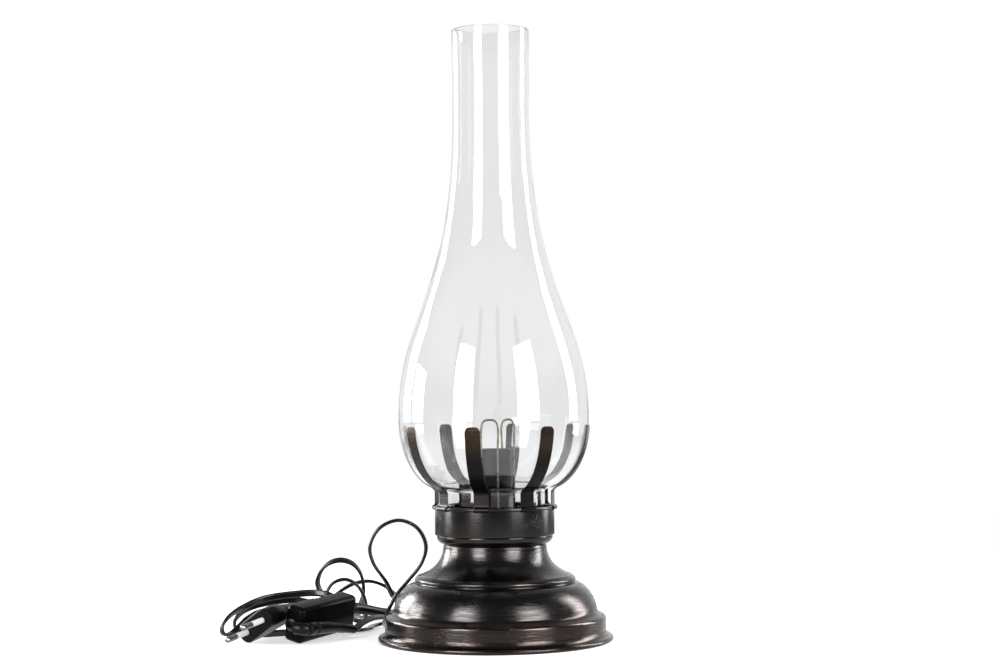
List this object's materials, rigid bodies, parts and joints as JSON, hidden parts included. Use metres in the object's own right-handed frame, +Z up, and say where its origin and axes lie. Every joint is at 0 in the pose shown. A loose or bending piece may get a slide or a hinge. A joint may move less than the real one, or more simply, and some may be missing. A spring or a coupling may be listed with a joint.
{
  "type": "table lamp",
  "caption": "Table lamp shaped like an oil lamp: dark spun metal foot, pronged gallery, tall clear glass chimney, candle lamp holder, and flat black flex with inline switch and plug.",
  "frame": {"origin": "on the table, under the middle of the foot", "axes": "+Z up along the lamp's axis, -Y towards the front, flex leaving the foot on +Y and lying on -X"},
  "size_m": [0.2613, 0.1981, 0.4022],
  "materials": {
    "lacquered_bronze": "satin lacquer, spun lines",
    "dark_steel": "satin",
    "zinc_plated": "satin",
    "cast_iron": "as cast",
    "felt": "matt",
    "clear_glass": "polished",
    "brass": "bright",
    "spring_wire": "drawn",
    "black_plastic": "fine satin",
    "black_flex": "satin",
    "inner_wire": "satin",
    "white_sleeve": "gloss",
    "nickel": "plated",
    "copper": "bright"
  },
  "bodies": {
    "lamp": {"base_shell": "lacquered_bronze", "bottom_plate": "dark_steel", "felt_pad": "felt", "cast_weight": "cast_iron", "weight_screws": "zinc_plated", "threaded_tube": "zinc_plated", "lower_washer": "zinc_plated", "lower_locknut": "brass", "upper_washer": "zinc_plated", "upper_locknut": "brass", "gallery_cup": "lacquered_bronze", "gallery_band": "lacquered_bronze", "prong_1": "lacquered_bronze", "prong_2": "lacquered_bronze", "prong_3": "lacquered_bronze", "prong_4": "lacquered_bronze", "prong_5": "lacquered_bronze", "prong_6": "lacquered_bronze", "prong_7": "lacquered_bronze", "prong_8": "lacquered_bronze", "chimney_seat": "dark_steel", "holder_cap": "black_plastic", "holder_sleeve": "black_plastic", "holder_insert": "black_plastic", "screw_shell": "brass", "centre_contact": "brass", "terminal_screws": "brass", "front_wire_loop": "spring_wire", "back_wire_loop": "spring_wire", "flex_bushing": "black_plastic", "inner_flex": "black_flex", "inner_leads": "inner_wire", "lamp_flex": "black_flex", "plug_flex": "black_flex", "switch_base": "black_plastic", "switch_cover": "black_plastic", "switch_contacts": "brass", "switch_screws": "zinc_plated", "switch_near_boot": "black_plastic", "switch_far_boot": "black_plastic", "plug_body": "black_plastic", "plug_boot": "black_plastic", "plug_pins": "nickel", "plug_pin_sleeves": "white_sleeve"},
    "chimney": {"glass_chimney": "clear_glass"},
    "rocker": {"switch_rocker": "black_plastic", "switch_bridge": "copper"}
  },
  "joints": [
    {"name": "chimney_lift", "type": "slide", "parent": "lamp", "child": "chimney", "axis": [0, 0, 1], "range_m": [0, 0.09]},
    {"name": "rocker_tilt", "type": "hinge", "parent": "lamp", "child": "rocker", "pos_m": [-0.11979, 0.01264, 0.01586], "axis": [0.1391, -0.1676, 0.976], "range_deg": [-12, 0]}
  ]
}
